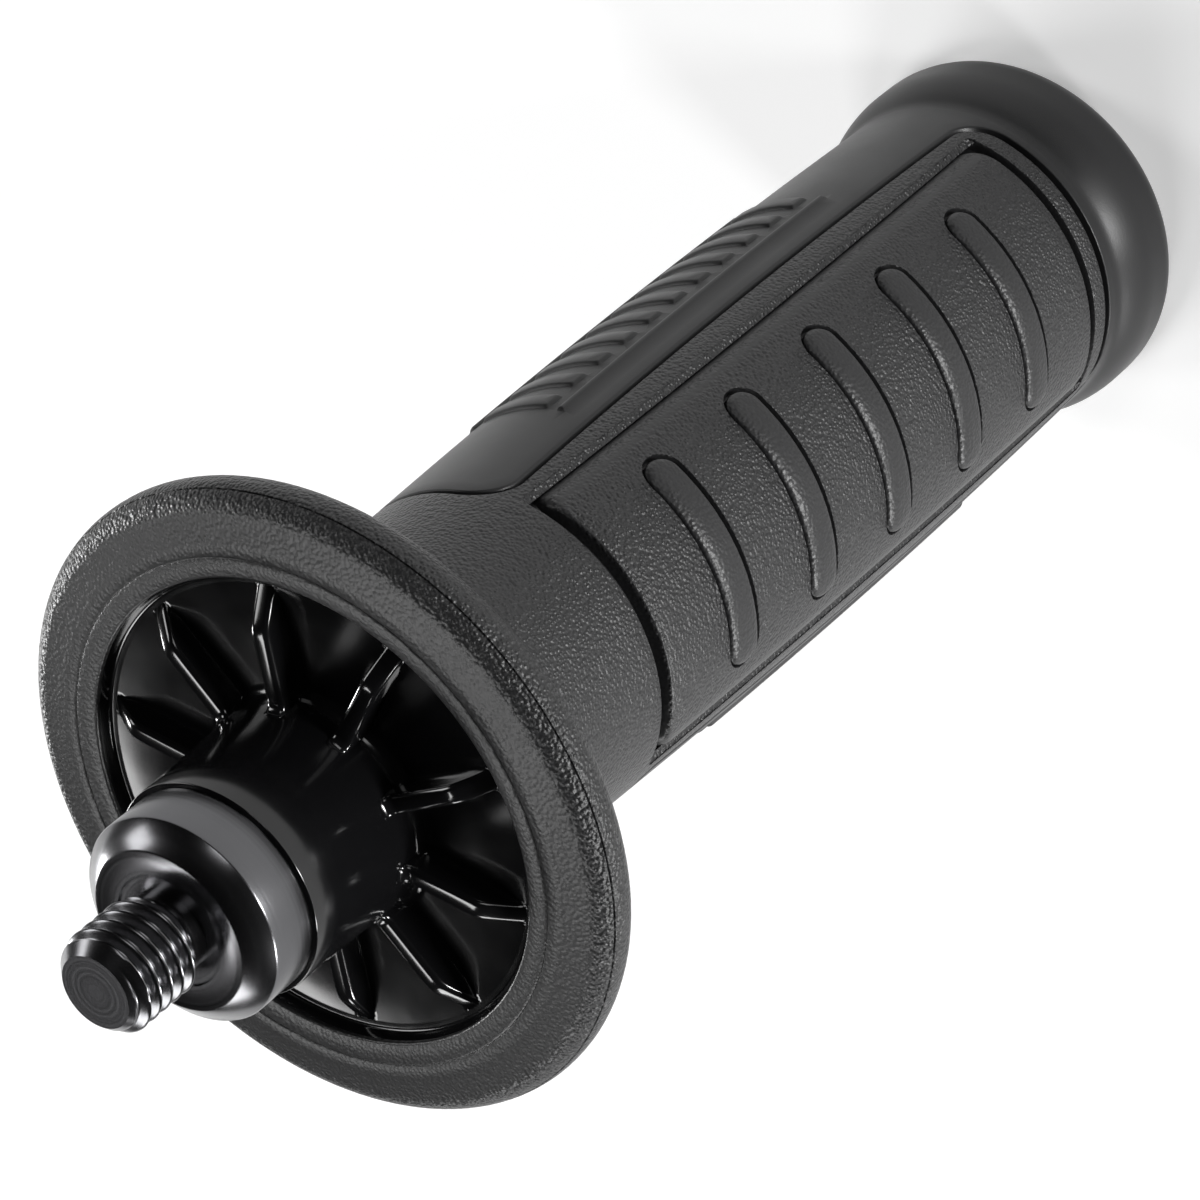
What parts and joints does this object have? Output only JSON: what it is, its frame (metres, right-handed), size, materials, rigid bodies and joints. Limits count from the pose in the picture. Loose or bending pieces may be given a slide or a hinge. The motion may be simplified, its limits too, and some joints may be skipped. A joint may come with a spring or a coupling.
{
  "type": "angle grinder side handle",
  "caption": "Screw-in side handle with a round guard flange, ribbed dish, hub with threaded stud, and a soft-panelled grip ending in a flared end flange.",
  "frame": {"origin": "centre of the flat rear face of the end flange, which the handle stands on", "axes": "+Z along the handle's axis, from the end flange to the stud's tip; +X through the middle of one soft pad; +Y through the middle of one hard strip"},
  "size_m": [0.065, 0.065, 0.16],
  "materials": {
    "steel": "turned, black oxide",
    "core": "polished",
    "body": "satin",
    "soft": "fine leather grain"
  },
  "bodies": {
    "root": {"threaded_stud": "steel", "flange_core": "core", "grip_body": "body", "soft_overmould": "soft"}
  },
  "joints": []
}
